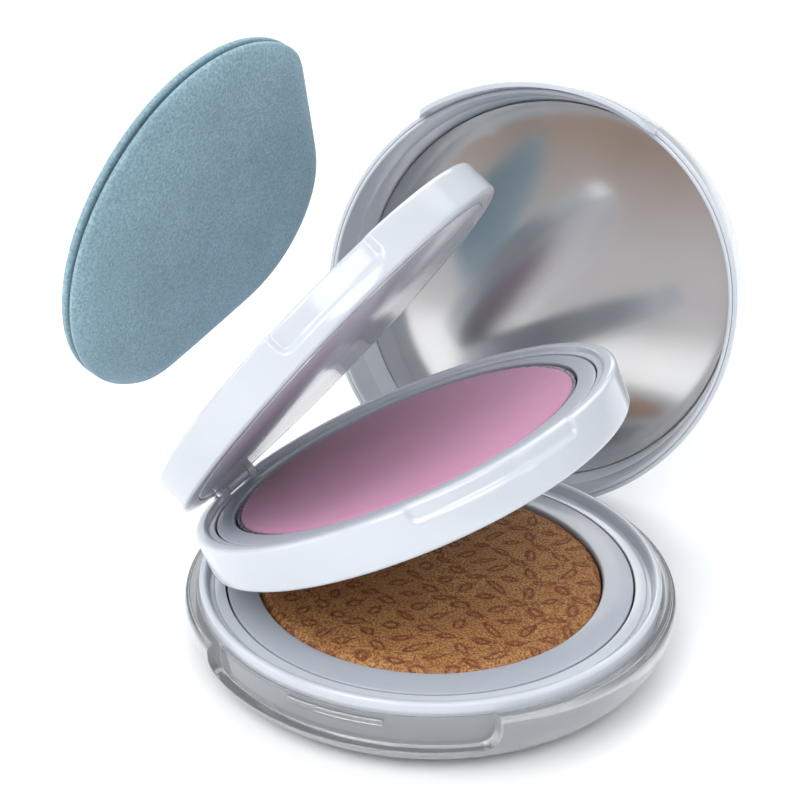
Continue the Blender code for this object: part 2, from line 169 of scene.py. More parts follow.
def make_stage():
    mesh = bpy.data.meshes.new("floor")
    data = bmesh.new()
    bmesh.ops.create_circle(data, cap_ends=True, segments=96, radius=4.0)
    data.to_mesh(mesh)
    data.free()
    floor = bpy.data.objects.new("floor", mesh)
    floor.location.z = -0.0001
    bpy.context.scene.collection.objects.link(floor)
    mesh.materials.append(plain_material("floor_white", (0.93, 0.94, 0.95), 0.7))

    world = bpy.data.worlds.new("studio")
    bpy.context.scene.world = world
    world.use_nodes = True
    tree = world.node_tree
    background = tree.nodes["Background"]
    direction = add(tree, "TexCoord").outputs["Generated"]
    toward_room = add(tree, "VectorMath", {0: direction, 1: (-0.20, -0.96, 0.20)},
                      operation="DOT_PRODUCT").outputs["Value"]
    room = spread(tree, toward_room, 0.0, 1.0, 0.74, 0.93)
    height = add(tree, "SeparateXYZ", {"Vector": direction}).outputs["Z"]
    wall = blend_colours(tree, spread(tree, height, 0.0, 1.0, 0.12, 0.31),
                         (0.67, 0.65, 0.67), (0.40, 0.30, 0.245))
    tree.links.new(blend_colours(tree, room, (0.36, 0.375, 0.40), wall), background.inputs["Color"])
    background.inputs["Strength"].default_value = 1.0
    area_light("key", (-0.20, -0.42, 0.74), (0.0, 0.0, 0.03), 0.42, 2.4, (1.0, 0.99, 0.97))
    area_light("left", (-0.62, -0.34, 0.34), (0.0, 0.0, 0.04), 0.36, 1.15)
    area_light("right", (0.32, -0.42, 0.64), (0.0, 0.0, 0.04), 0.40, 2.2)
    area_light("front_floor", (-0.2, -1.2, 1.15), (-0.2, -1.2, 0.0), 0.9, 7.0)
    area_light("top", (0.05, 0.30, 0.62), (0.0, 0.0, 0.03), 0.5, 0.8)
    area_light("strip", (0.50, -0.10, 0.35), (0.0, 0.0, 0.04), 0.06, 0.2, (0.95, 0.98, 1.0), 0.5)
    area_light("backdrop", (-0.45, 1.15, 0.9), (-0.45, 1.15, 0.0), 1.5, 13.5)
    settings = bpy.context.scene.view_settings
    settings.view_transform = "Standard"
    settings.look = "None"


# ---- materials ----

def add(tree, kind, inputs=None, **settings):
    """A shader node with its settings, input values and links."""
    node = tree.nodes.new("ShaderNode" + kind)
    for key, value in settings.items():
        setattr(node, key, value)
    for key, value in (inputs or {}).items():
        if isinstance(value, bpy.types.NodeSocket):
            tree.links.new(value, node.inputs[key])
        else:
            node.inputs[key].default_value = value
    return node


def new_material(name):
    material = bpy.data.materials.new(name)
    material.use_nodes = True
    tree = material.node_tree
    return material, tree, tree.nodes["Principled BSDF"]


def plain_material(name, colour, roughness):
    material, _, shader = new_material(name)
    shader.inputs["Base Color"].default_value = (*colour, 1.0)
    shader.inputs["Roughness"].default_value = roughness
    return material


def object_vector(tree):
    return add(tree, "TexCoord").outputs["Object"]


def noise(tree, vector, scale, detail=3.0, roughness=0.5):
    """Noise with its scale in features per metre."""
    return add(tree, "TexNoise", {"Vector": vector, "Scale": scale, "Detail": detail,
                                  "Roughness": roughness}).outputs["Fac"]


def spread(tree, value, low, high, low_in=0.3, high_in=0.7):
    return add(tree, "MapRange", {"Value": value, "From Min": low_in, "From Max": high_in,
                                  "To Min": low, "To Max": high}).outputs["Result"]


def blend_colours(tree, factor, first, second):
    mix = add(tree, "Mix", data_type="RGBA")
    sockets = [s for s in mix.inputs if s.type == "RGBA"]
    tree.links.new(factor, mix.inputs["Factor"])
    for socket, value in zip(sockets, (first, second)):
        if isinstance(value, bpy.types.NodeSocket):
            tree.links.new(value, socket)
        else:
            socket.default_value = (*value, 1.0)
    return [s for s in mix.outputs if s.type == "RGBA"][0]


def bump(tree, shader, height, distance, strength=1.0):
    node = add(tree, "Bump", {"Height": height, "Distance": distance, "Strength": strength})
    tree.links.new(node.outputs["Normal"], shader.inputs["Normal"])
    return node


def moulded_plastic(name, colour, roughness, darker=0.94, grain=0.0):
    """Moulded plastic: a faint colour drift, handling marks in the gloss, and flow unevenness."""
    material, tree, shader = new_material(name)
    at = object_vector(tree)
    drift = noise(tree, at, 45.0)
    dark = tuple(c * darker for c in colour)
    tree.links.new(blend_colours(tree, spread(tree, drift, 0.0, 1.0), dark, colour),
                   shader.inputs["Base Color"])
    marks = noise(tree, at, 420.0, 2.0, 0.5)
    tree.links.new(spread(tree, marks, roughness * 0.95, roughness * 1.08, 0.1, 0.9),
                   shader.inputs["Roughness"])
    if grain:
        bump(tree, shader, noise(tree, at, 5200.0, 2.0), 0.00002, grain)
    else:
        bump(tree, shader, noise(tree, at, 30.0, 1.0), 0.00006, 0.35)
    shader.inputs["Coat Weight"].default_value = 0.35
    shader.inputs["Coat Roughness"].default_value = 0.06
    return material


def clear_plastic(name):
    material, tree, shader = new_material(name)
    at = object_vector(tree)
    shader.inputs["Base Color"].default_value = (0.66, 0.68, 0.70, 1.0)
    shader.inputs["Transmission Weight"].default_value = 0.80
    shader.inputs["IOR"].default_value = 1.42
    shader.inputs["Coat Weight"].default_value = 0.6
    shader.inputs["Coat Roughness"].default_value = 0.03
    tree.links.new(spread(tree, noise(tree, at, 500.0, 4.0), 0.01, 0.035), shader.inputs["Roughness"])
    bump(tree, shader, noise(tree, at, 60.0, 1.0), 0.00002, 0.2)
    return material


def metal(name, colour, roughness):
    material, tree, shader = new_material(name)
    at = object_vector(tree)
    shader.inputs["Metallic"].default_value = 1.0
    streak = noise(tree, at, 900.0, 4.0)
    dark = tuple(c * 0.85 for c in colour)
    tree.links.new(blend_colours(tree, streak, dark, colour), shader.inputs["Base Color"])
    tree.links.new(spread(tree, streak, roughness * 0.7, roughness * 1.4), shader.inputs["Roughness"])
    return material


def mirror_material(name):
    material, tree, shader = new_material(name)
    at = object_vector(tree)
    haze = noise(tree, at, 60.0, 2.0)
    shader.inputs["Metallic"].default_value = 1.0
    tree.links.new(blend_colours(tree, haze, (0.60, 0.595, 0.59), (0.68, 0.68, 0.68)),
                   shader.inputs["Base Color"])
    tree.links.new(spread(tree, haze, 0.13, 0.18), shader.inputs["Roughness"])
    return material


def sponge_material(name):
    """Speckled mesh over a wet sponge; the emboss attribute marks the leaf lines."""
    material, tree, shader = new_material(name)
    at = object_vector(tree)
    speckle = noise(tree, at, 3000.0, 3.0, 0.8)
    patches = noise(tree, at, 160.0, 3.0, 0.6)
    base = blend_colours(tree, spread(tree, speckle, 0.0, 1.0, 0.41, 0.58),
                         (0.145, 0.038, 0.012), (0.66, 0.345, 0.115))
    warm = blend_colours(tree, spread(tree, patches, 0.0, 0.55), base, (0.34, 0.130, 0.036))
    emboss = add(tree, "Attribute", attribute_name="emboss").outputs["Fac"]
    strength = add(tree, "Math", {0: emboss, 1: spread(tree, speckle, 1.0, 0.55, 0.4, 0.65)},
                   operation="MULTIPLY")
    tree.links.new(blend_colours(tree, strength.outputs[0], warm, (0.17, 0.034, 0.011)),
                   shader.inputs["Base Color"])
    tree.links.new(spread(tree, speckle, 0.75, 0.45), shader.inputs["Roughness"])
    bump(tree, shader, speckle, 0.00012, 0.9)
    return material


def powder_material(name):
    material, tree, shader = new_material(name)
    at = object_vector(tree)
    cloud = noise(tree, at, 40.0, 3.0)
    grain = noise(tree, at, 5000.0, 3.0, 0.7)
    soft = blend_colours(tree, spread(tree, cloud, 0.0, 1.0), (0.46, 0.195, 0.315), (0.50, 0.222, 0.36))
    tree.links.new(blend_colours(tree, spread(tree, grain, 0.0, 0.35), soft, (0.55, 0.29, 0.42)),
                   shader.inputs["Base Color"])
    shader.inputs["Roughness"].default_value = 0.85
    shader.inputs["Sheen Weight"].default_value = 0.25
    shader.inputs["Sheen Roughness"].default_value = 0.4
    bump(tree, shader, grain, 0.00004, 0.5)
    return material


def puff_material(name, light, dark, sheen=0.35):
    """Short-pile microfibre: fine speckle, a soft nap and a sheen at grazing angles."""
    material, tree, shader = new_material(name)
    at = object_vector(tree)
    pile = noise(tree, at, 2600.0, 3.0, 0.75)
    nap = noise(tree, at, 90.0, 2.0)
    near = blend_colours(tree, spread(tree, pile, 0.0, 1.0, 0.35, 0.65), dark, light)
    tree.links.new(blend_colours(tree, spread(tree, nap, 0.0, 0.30), near, tuple(c * 0.8 for c in dark)),
                   shader.inputs["Base Color"])
    shader.inputs["Roughness"].default_value = 0.95
    shader.inputs["Sheen Weight"].default_value = sheen
    shader.inputs["Sheen Roughness"].default_value = 0.5
    shader.inputs["Sheen Tint"].default_value = (0.75, 0.88, 0.95, 1.0)
    bump(tree, shader, pile, 0.00010, 0.8)
    return material


# ---- mesh helpers ----

def fillet(corners, count=6):
    """Rounds the corners (radius, height, rounding) of a profile; the curves are arcs at right angles."""
    points = []
    for i, (r, z, rounding) in enumerate(corners):
        here = Vector((r, z))
        if not rounding:
            points.append((r, z))
            continue
        before = Vector(corners[i - 1][:2])
        after = Vector(corners[(i + 1) % len(corners)][:2])
        start = here + (before - here).normalized() * min(rounding, (before - here).length * 0.49)
        end = here + (after - here).normalized() * min(rounding, (after - here).length * 0.49)
        weight = math.cos((here - start).angle(end - here, 0.0) / 2)
        for k in range(count + 1):
            t = k / count
            a, b, c = (1 - t) ** 2, 2 * weight * t * (1 - t), t ** 2
            p = (start * a + here * b + end * c) / (a + b + c)
            points.append((p.x, p.y))
    return points


def smooth(mesh, angle=32.0):
    mesh.shade_smooth()
    mesh.set_sharp_from_angle(angle=math.radians(angle))


def revolve_mesh(name, profile, steps=STEPS, angles=None, shift=None):
    """Turns a profile of (radius, height) about the centre line; shift moves the (n, 3) points after it."""
    angles = np.linspace(0, 2 * math.pi, steps, endpoint=False) if angles is None else angles
    count = len(angles)
    verts, rings = [], []
    for r, z in profile:
        if r < 1e-6:
            rings.append([len(verts)])
            verts.append((0.0, 0.0, z))
        else:
            rings.append(list(range(len(verts), len(verts) + count)))
            verts.extend(zip(r * np.cos(angles), r * np.sin(angles), [z] * count))
    faces = []
    closed = profile[0][0] > 1e-6
    pairs = list(zip(rings, rings[1:])) + ([(rings[-1], rings[0])] if closed else [])
    for a, b in pairs:
        for i in range(count):
            j = (i + 1) % count
            if len(a) == 1:
                faces.append((a[0], b[i], b[j]))
            elif len(b) == 1:
                faces.append((a[i], b[0], a[j]))
            else:
                faces.append((a[i], b[i], b[j], a[j]))
    points = np.array(verts, float)
    if shift is not None:
        points = shift(points)
    mesh = bpy.data.meshes.new(name)
    mesh.from_pydata((points * MM).tolist(), [], faces)
    return mesh


def tidy_mesh(mesh):
    data = bmesh.new()
    data.from_mesh(mesh)
    bmesh.ops.recalc_face_normals(data, faces=data.faces)
    data.to_mesh(mesh)
    data.free()


def block_mesh(x, y, z, heading=0.0, corner=0.0, along=1):
    """A box between pairs of coordinates, with the edges along one axis rounded, turned about Z."""
    data = bmesh.new()
    size = Vector((x[1] - x[0], y[1] - y[0], z[1] - z[0])) * MM
    centre = Vector((x[1] + x[0], y[1] + y[0], z[1] + z[0])) * MM / 2
    bmesh.ops.create_cube(data, size=1.0, matrix=Matrix.LocRotScale(centre, None, size))
    if corner:
        edges = [e for e in data.edges
                 if abs((e.verts[0].co - e.verts[1].co)[along]) > size[along] * 0.5]
        bmesh.ops.bevel(data, geom=edges, offset=corner * MM, segments=8, affect="EDGES", profile=0.5)
    bmesh.ops.rotate(data, verts=data.verts, matrix=Matrix.Rotation(math.radians(heading), 3, "Z"))
    mesh = bpy.data.meshes.new("tool")
    data.to_mesh(mesh)
    data.free()
    return mesh


def rod_mesh(along, span, centre, radius, sides=48):
    data = bmesh.new()
    middle = Vector(centre)
    turn = Matrix.Rotation(math.radians(90), 4, "Y" if along == "X" else "X")
    middle["XY".index(along)] = (span[0] + span[1]) / 2
    bmesh.ops.create_cone(data, cap_ends=True, segments=sides, radius1=radius * MM, radius2=radius * MM,
                          depth=(span[1] - span[0]) * MM, matrix=Matrix.Translation(middle * MM) @ turn)
    mesh = bpy.data.meshes.new("tool")
    data.to_mesh(mesh)
    data.free()
    return mesh


def combine(mesh, steps):
    """Applies (operation, tool mesh) steps to a mesh with exact booleans."""
    target = bpy.data.objects.new("work", mesh)
    bpy.context.scene.collection.objects.link(target)
    tools = []
    for operation, tool_mesh in steps:
        tidy_mesh(tool_mesh)
        tool = bpy.data.objects.new("tool", tool_mesh)
        bpy.context.scene.collection.objects.link(tool)
        modifier = target.modifiers.new(operation, "BOOLEAN")
        modifier.operation = operation
        modifier.solver = "EXACT"
        modifier.object = tool
        tools.append(tool)
    bpy.context.view_layer.update()
    graph = bpy.context.evaluated_depsgraph_get()
    result = bpy.data.meshes.new_from_object(target.evaluated_get(graph))
    for obj in [target, *tools]:
        bpy.data.objects.remove(obj)
    return result


def ring_piece(inner, outer, low, high, half_angle, corner, heading=0.0):
    """Part of a ring, half_angle each side of a heading from the front, with rounded ends."""
    ring = revolve_mesh("ring", fillet([(inner, high, 0.1), (outer, high, 0.1), (outer, low, 0.1),
                                        (inner, low, 0.1)], 2))
    half = outer * math.sin(math.radians(half_angle))
    return combine(ring, [("INTERSECT", block_mesh((-half, half), (-BASE_RADIUS - 4, -18.0),
                                                   (low - 0.01, high + 0.01), heading, corner))])


def place(name, mesh, body, material, *nodes, slot=None, angle=32.0):
    """Makes a piece of a mesh in the closed compact, at its rest place, riding on its body."""
    mesh.name = name
    tidy_mesh(mesh)
    smooth(mesh, angle)
    mesh.materials.clear()
    mesh.materials.append(material)
    piece = bpy.data.objects.new(name, mesh)
    bpy.context.scene.collection.objects.link(piece)
    piece.matrix_world = REST[body]
    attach(piece, body)
    if nodes:
        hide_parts(*nodes)
    return piece


def smoothstep(edge0, edge1, x):
    t = np.clip((x - edge0) / (edge1 - edge0), 0.0, 1.0)
    return t * t * (3 - 2 * t)


def slow_waves(seed, slowest, fastest, count):
    """Random waves (rate per millimetre, heading, phase) for the unevenness of a soft face."""
    rng = np.random.default_rng(seed)
    return [(rng.uniform(slowest, fastest), rng.uniform(0, 2 * math.pi), rng.uniform(0, 2 * math.pi))
            for _ in range(count)]


# ---- base ----

def dense_angles(centres, half_span, fine, coarse):
    """Angles in degrees round the circle, finer near some of them."""
    angles = [a for a in np.arange(0.0, 360.0, coarse)
              if all(abs((a - c + 180) % 360 - 180) > half_span for c in centres)]
    for c in centres:
        angles.extend(np.arange(c - half_span, c + half_span + 1e-6, fine) % 360)
    return np.radians(np.array(sorted(set(np.round(angles, 4)))))


def pocket_shift(points):
    """Presses the thumb pocket into the front of the clear shell."""
    r = np.hypot(points[:, 0], points[:, 1])
    a = np.arctan2(points[:, 1], points[:, 0])
    from_front = np.abs(np.degrees((a + math.pi / 2 + math.pi) % (2 * math.pi) - math.pi))
    along = from_front * math.radians(1) * BASE_RADIUS
    corner = POCKET_CORNER
    half = math.radians(POCKET_HALF_ANGLE) * BASE_RADIUS
    across = along - (half - corner)
    down = (POCKET_LOW_Z + corner) - points[:, 2]
    outside = (np.hypot(np.maximum(across, 0), np.maximum(down, 0))
               + np.minimum(np.maximum(across, down), 0) - corner)
    mask = smoothstep(0.24, -0.24, outside)
    inner = SHELL_INNER_RADIUS
    pressed = inner + (r - inner) * (POCKET_RADIUS - inner) / (BASE_RADIUS - inner)
    moved = np.where((r > inner + 0.01) & (points[:, 2] > POCKET_LOW_Z - 1.0), r + (pressed - r) * mask, r)
    scale = moved / np.maximum(r, 1e-9)
    out = points.copy()
    out[:, :2] *= scale[:, None]
    return out


def make_base(mats):
    radius = BASE_RADIUS
    corners = [(SHELL_INNER_RADIUS, SHELL_FLOOR, 3.4), (SHELL_INNER_RADIUS, RIM_Z, 0.35),
               (radius - 0.75, RIM_Z, 0.3), (radius - 0.62, RIM_Z - 0.28, 0.12),
               (radius - 0.28, RIM_Z - 0.38, 0.15),
               (radius, RIM_Z - 0.9, 0.5)]
    upper = fillet([(0.0, SHELL_FLOOR, 0)] + corners + [(radius, 8.0, 0)], 5)[:-1]
    wall = [(radius - SHELL_ROUNDING + math.sqrt(SHELL_ROUNDING ** 2 - max(0.0, SHELL_ROUNDING - z) ** 2), z)
            for z in np.arange(8.2, 4.2, -0.12)]
    lower = [(radius - SHELL_ROUNDING * (1 - math.cos(a)), SHELL_ROUNDING * (1 - math.sin(a)))
             for a in np.radians(np.arange(30, 91, 5))] + [(0.0, 0.0)]
    half_deg = POCKET_HALF_ANGLE
    angles = dense_angles((270 - half_deg, 270 + half_deg), 5.0, 0.18, 1.5)
    shell = revolve_mesh("base_shell", upper + wall + lower, angles=angles, shift=pocket_shift)
    tidy_mesh(shell)
    shell = combine(shell, [("DIFFERENCE", block_mesh((-10.8, 10.8), (34.5, 45.0), (1.7, 14.0)))])
    place("clear_shell", shell, "base", mats["clear_plastic"], "base_shell", slot="clear_plastic")

    low = SHELL_FLOOR + 0.3
    lip = LINER_LIP_RADIUS
    profile = fillet([(0.0, low + 1.0, 0), (POT_BORE_RADIUS, low + 1.0, 0.3),
                      (POT_BORE_RADIUS, FLANGE_Z, 0.12),
                      (lip - 1.15, FLANGE_Z, 0.1), (lip - 0.95, FLANGE_Z - 0.45, 0.15),
                      (lip - 0.25, FLANGE_Z - 0.45, 0.2), (lip, LINER_LIP_Z, 0.55),
                      (LINER_RADIUS, LINER_LIP_Z, 0.55),
                      (LINER_RADIUS, low, 4.2), (0.0, low, 0)], 6)
    steps = [("DIFFERENCE", block_mesh((-9.2, 9.2), (33.1, 45.0), (2.9, 14.0)))]
    for side in (-1, 1):
        steps.append(("UNION", rod_mesh("X", sorted((side * 5.95, side * 10.3)), LID_AXLE, 1.7)))
        ends = sorted((side * 6.2, side * 8.4))
        steps.append(("UNION", rod_mesh("Y", ends, TRAY_AXLE, 1.1)))
        steps.append(("UNION", block_mesh((TRAY_AXLE[0] - 1.1, TRAY_AXLE[0] + 1.1), ends,
                                          (FLANGE_Z - 1.0, TRAY_AXLE[2]))))
    steps.append(("DIFFERENCE", rod_mesh("X", (-9.6, 9.6), LID_AXLE, LID_BORE_RADIUS)))
    steps.append(("DIFFERENCE", rod_mesh("Y", (-9.4, 9.4), TRAY_AXLE, TRAY_BORE_RADIUS)))
    liner = revolve_mesh("base_liner", profile)
    tidy_mesh(liner)
    place("liner", combine(liner, steps), "base", mats["white_plastic"], "base_liner", slot="white_plastic")

    catch = ring_piece(POCKET_RADIUS + 0.05, POCKET_RADIUS + 0.42, 8.2, 9.0, 11.0, 0.3)
    place("catch_bar", catch, "base", mats["clear_plastic"], "latch_catch", slot="clear_plastic")

    inner = SPONGE_RADIUS + 0.3
    outer = POT_BORE_RADIUS - 0.3
    profile = fillet([(inner, 8.8, 0.1), (inner, FLANGE_Z, 0.35), (outer, FLANGE_Z, 0.18),
                      (outer, 8.8, 0.1)], 6)
    place("flange_ring", revolve_mesh("ring", profile), "base", mats["pale_flange"], "pot_flange_ring",
          slot="pale_flange")


def leaf_lines(x, y):
    """Strength, 0 to 1, of rows of leaf outlines and stems at points of the sponge, in millimetres."""
    turn = math.radians(17.0)
    pitch = 5.4
    x, y = x + 0.8 * np.sin(y * 0.53 + 1.0), y + 0.8 * np.sin(x * 0.47)
    u = (x * math.cos(turn) + y * math.sin(turn)) / pitch
    v = (-x * math.sin(turn) + y * math.cos(turn)) / pitch
    lines = np.zeros_like(x)
    for offset, heading, length, width in ((0.0, 30.0, 1.45, 0.72), (0.5, -38.0, 1.25, 0.58)):
        row, column = np.floor(u + offset + 0.5), np.floor(v + offset + 0.5)
        side = np.where((row + column) % 2 == 0, 1.0, -1.0)
        vary = np.sin(row * 12.9 + column * 37.7 + offset)
        c, s = np.cos(np.radians(heading + 30.0 * vary)), np.sin(np.radians(heading + 30.0 * vary))
        length, width = length * (1.0 + 0.18 * vary), width * (1.0 - 0.15 * vary)
        du, dv = (u + offset - row) * pitch, (v + offset - column) * pitch * side
        a, b = du * c + dv * s, -du * s + dv * c
        loop = np.abs(np.abs(b) - width * (1 - (a / length) ** 2))
        lines = np.maximum(lines, smoothstep(0.42, 0.16, loop) * (np.abs(a) < length * 1.08))
        stem = np.abs(b - 0.22 * (a - length) ** 2)
        dots = 0.5 + 0.5 * np.sin(a * 9.0)
        lines = np.maximum(lines, smoothstep(0.34, 0.12, stem) * dots * (a > length) * (a < length + 1.3))
    return lines


def make_sponge(mats):
    """Crowned cushion with its mesh pressed in between the embossed leaf lines."""
    rings, around = 160, 640
    radii = np.linspace(0.0, 1.0, rings)[1:] ** 0.9 * SPONGE_RADIUS
    profile_top = [(0.0, FLANGE_Z)] + [(float(r), FLANGE_Z) for r in radii]
    rim = [(SPONGE_RADIUS, FLANGE_Z - 1.0), (SPONGE_RADIUS, 4.5), (0.0, 4.5)]
    waves = slow_waves(7, 0.15, 0.5, 10)

    def shape(points):
        out = points.copy()
        x, y, z = points.T
        r = np.hypot(x, y)
        top = z > FLANGE_Z - 0.5
        crown = (0.28 * (1 - (r / SPONGE_RADIUS) ** 2)
                 - 0.75 * smoothstep(SPONGE_RADIUS - 1.6, SPONGE_RADIUS, r) ** 2)
        soft = sum(np.sin(k * (x * math.cos(h) + y * math.sin(h)) + p) for k, h, p in waves) * 0.02
        grain = np.sin(x * 5.1 + 1.7 * np.sin(y * 3.3)) * np.sin(y * 4.7 + 1.3 * np.sin(x * 2.9)) * 0.025
        out[:, 2] = np.where(top, z - 0.1 + crown + soft + grain - 0.16 * leaf_lines(x, y), z)
        return out

    mesh = revolve_mesh("sponge", profile_top + rim, steps=around, shift=shape)
    co = np.array([v.co for v in mesh.vertices]) / MM
    emboss = mesh.attributes.new("emboss", "FLOAT", "POINT")
    emboss.data.foreach_set("value", np.where(co[:, 2] > 8.0, leaf_lines(co[:, 0], co[:, 1]), 0.0))
    piece = place("sponge_cushion", mesh, "base", mats["foundation_sponge"], "foundation_sponge",
                  slot="foundation_sponge", angle=60.0)


# ---- mirror lid ----

def make_lid(mats):
    wall_inner = LID_RADIUS - 0.75
    ceiling = LID_TOP_Z - 1.05
    profile = fillet([(0.0, LID_TOP_Z, 0), (LID_RADIUS, LID_TOP_Z, LID_CORNER + 0.8),
                      (LID_RADIUS, LID_RIM_Z, 0.35),
                      (wall_inner, LID_RIM_Z + 0.1, 0.1), (wall_inner, MIRROR_Z - 1.6, 0.2),
                      (MIRROR_RADIUS + 0.6, ceiling, 0.4), (0.0, ceiling, 0)], 10)
    shell = revolve_mesh("lid_shell", profile)
    tidy_mesh(shell)
    tongue = ring_piece(wall_inner + 0.05, LID_RADIUS + 0.2, POCKET_LOW_Z + 0.6, LID_RIM_Z + 2.0,
                        POCKET_HALF_ANGLE - 1.9, TONGUE_CORNER)
    hook = ring_piece(POCKET_RADIUS + 0.47, wall_inner + 0.3, 6.7, 7.4, 10.5, 0.2)
    tab = revolve_mesh("tab", [(wall_inner + 0.05, LID_RIM_Z + 2.0), (LID_RADIUS - 0.1, LID_RIM_Z + 2.0),
                               (LID_RADIUS - 0.1, 5.2), (wall_inner + 0.05, 5.2)])
    tidy_mesh(tab)
    tab = combine(tab, [("INTERSECT", block_mesh((-5.7, 5.7), (30.0, 45.0), (5.3, LID_RIM_Z + 1.9)))])
    web = block_mesh((-5.7, 5.7), (LID_AXLE[1], LID_RADIUS - 0.6), (5.3, LID_RIM_Z - 0.3))
    shell = combine(shell, [("UNION", tongue), ("UNION", hook), ("UNION", tab), ("UNION", web),
                            ("UNION", rod_mesh("X", (-5.7, 5.7), LID_AXLE, 1.7)),
                            ("DIFFERENCE", rod_mesh("X", (-7.0, 7.0), LID_AXLE, LID_BORE_RADIUS))])
    place("lid_outer_shell", shell, "mirror_lid", mats["white_plastic"], "lid_shell", slot="white_plastic")

    outer = LID_RADIUS - 0.8
    seam = 17.6
    inner_rim, inner_top = LID_INNER_RADIUS, MIRROR_RADIUS + 0.15
    at_seam = inner_rim + (inner_top - inner_rim) * (seam - LID_RIM_Z) / (MIRROR_Z - LID_RIM_Z)
    profile = fillet([(MIRROR_RADIUS + 0.55, MIRROR_Z + 0.4, 0), (MIRROR_RADIUS + 0.75, MIRROR_Z - 3.6, 0.3),
                      (outer, MIRROR_Z - 5.4, 0.3), (outer, LID_RIM_Z, 0.3), (inner_rim, LID_RIM_Z, 0.35),
                      (at_seam, seam - 0.12, 0.08), (at_seam + 0.35, seam - 0.08, 0),
                      (at_seam + 0.35, seam + 0.08, 0),
                      (at_seam - 0.04, seam + 0.12, 0.08), (inner_top, MIRROR_Z + 0.4, 0.1)], 6)
    place("lid_inner_frame", revolve_mesh("frame", profile), "mirror_lid", mats["white_plastic"], "lid_frame",
          slot="white_plastic")

    glass = fillet([(0.0, MIRROR_Z, 0), (MIRROR_RADIUS, MIRROR_Z, 0.12),
                    (MIRROR_RADIUS, MIRROR_Z + 0.7, 0.12), (0.0, MIRROR_Z + 0.7, 0)], 4)
    place("mirror_disc", revolve_mesh("mirror", glass), "mirror_lid", mats["mirror_glass"], "mirror",
          slot="mirror_glass")


# ---- blush tray ----

def notch_shift(radius, heading, depth, low, high, half_angle, above):
    """Presses a finger notch into the outer wall of a turned piece; above says which side of low it opens."""
    heading = math.radians(heading - 90.0)

    def shift(points):
        r = np.hypot(points[:, 0], points[:, 1])
        a = np.arctan2(points[:, 1], points[:, 0])
        along = np.abs((a - heading + math.pi) % (2 * math.pi) - math.pi) * radius
        half = math.radians(half_angle) * radius
        corner = min(1.2, (high - low) * 0.5)
        across = along - (half - corner)
        down = (low + corner) - points[:, 2] if above else points[:, 2] - (high - corner)
        outside = (np.hypot(np.maximum(across, 0), np.maximum(down, 0))
                   + np.minimum(np.maximum(across, down), 0) - corner)
        mask = smoothstep(0.45, -0.45, outside) * smoothstep(radius - 3.0, radius - 0.9, r)
        scale = 1 - depth * mask / np.maximum(r, 1e-9)
        out = points.copy()
        out[:, :2] *= scale[:, None]
        return out

    return shift


